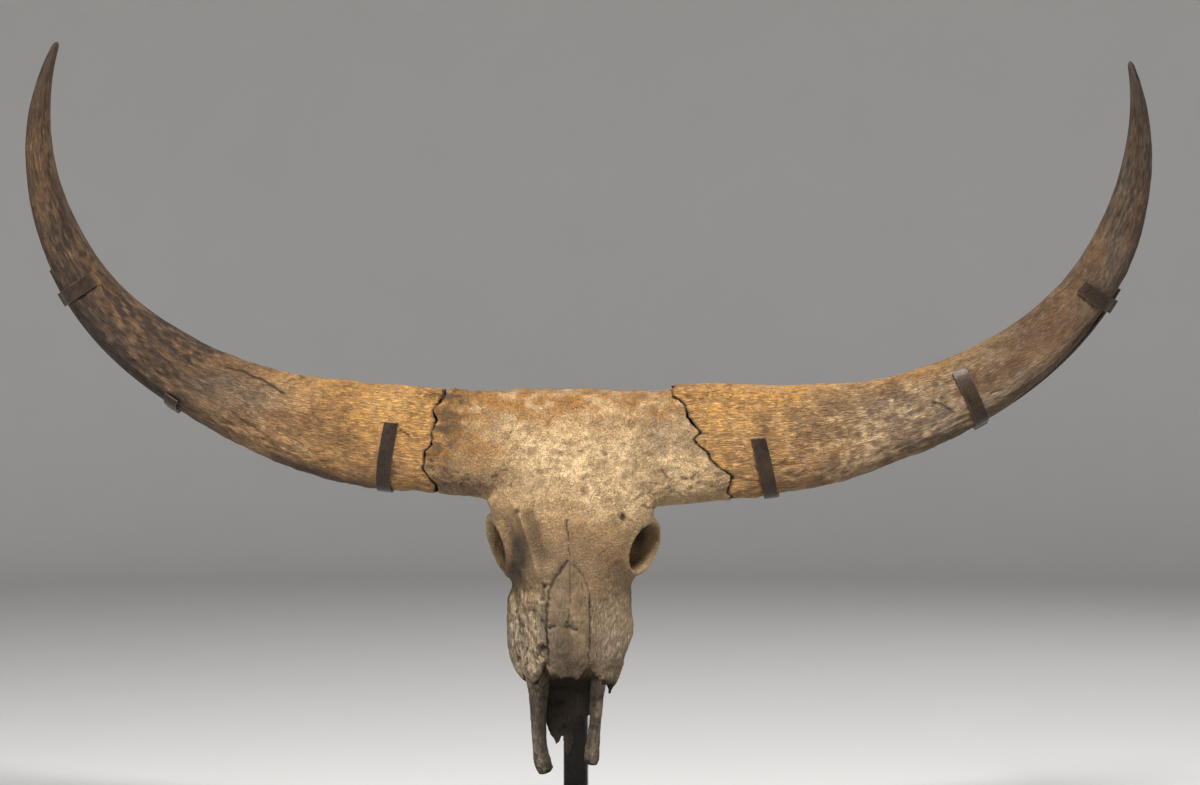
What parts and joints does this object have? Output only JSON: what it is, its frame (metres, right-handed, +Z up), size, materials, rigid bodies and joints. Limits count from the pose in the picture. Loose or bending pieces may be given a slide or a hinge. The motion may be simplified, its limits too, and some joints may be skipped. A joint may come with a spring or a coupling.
{
  "type": "mounted fossil skull of a long-horned wild ox",
  "caption": "Fossil skull of an extinct long-horned wild ox with huge upswept horn cores, held face forward on a dark steel museum mount with a flat base.",
  "frame": {"origin": "centre of the base plate's underside, on the floor", "axes": "+X the animal's left, along the span of the horns; +Y the way from the forehead to the back of the skull; +Z up, from the muzzle to the poll"},
  "size_m": [1.831, 0.44, 1.3303],
  "materials": {
    "cranium_bone": "matt fossil bone, ochre to cream, stained",
    "horn_bone": "matt fossil horn core, brown, with a fine lengthwise grain",
    "nasal_bone": "matt fossil bone, smooth, beige",
    "maxilla_bone": "matt fossil bone, fibrous and pitted, grey beige",
    "premaxilla_bone": "matt fossil bone, worn, grey beige",
    "dark_steel": "blackened steel, satin",
    "strap_steel": "blackened steel strap, satin, brownish"
  },
  "bodies": {
    "root": {"cranium": "cranium_bone", "horn_core_left": "horn_bone", "horn_core_right": "horn_bone", "nasal_left": "nasal_bone", "nasal_right": "nasal_bone", "maxilla_left": "maxilla_bone", "maxilla_right": "maxilla_bone", "premaxilla_left": "premaxilla_bone", "premaxilla_right": "premaxilla_bone", "stand_base": "dark_steel", "stand_post": "dark_steel", "stand_rest": "dark_steel", "stand_arm_left": "dark_steel", "stand_arm_right": "dark_steel", "stand_clip_left_inner": "strap_steel", "stand_clip_left_middle": "strap_steel", "stand_clip_left_outer": "strap_steel", "stand_clip_right_inner": "strap_steel", "stand_clip_right_middle": "strap_steel", "stand_clip_right_outer": "strap_steel"}
  },
  "joints": []
}
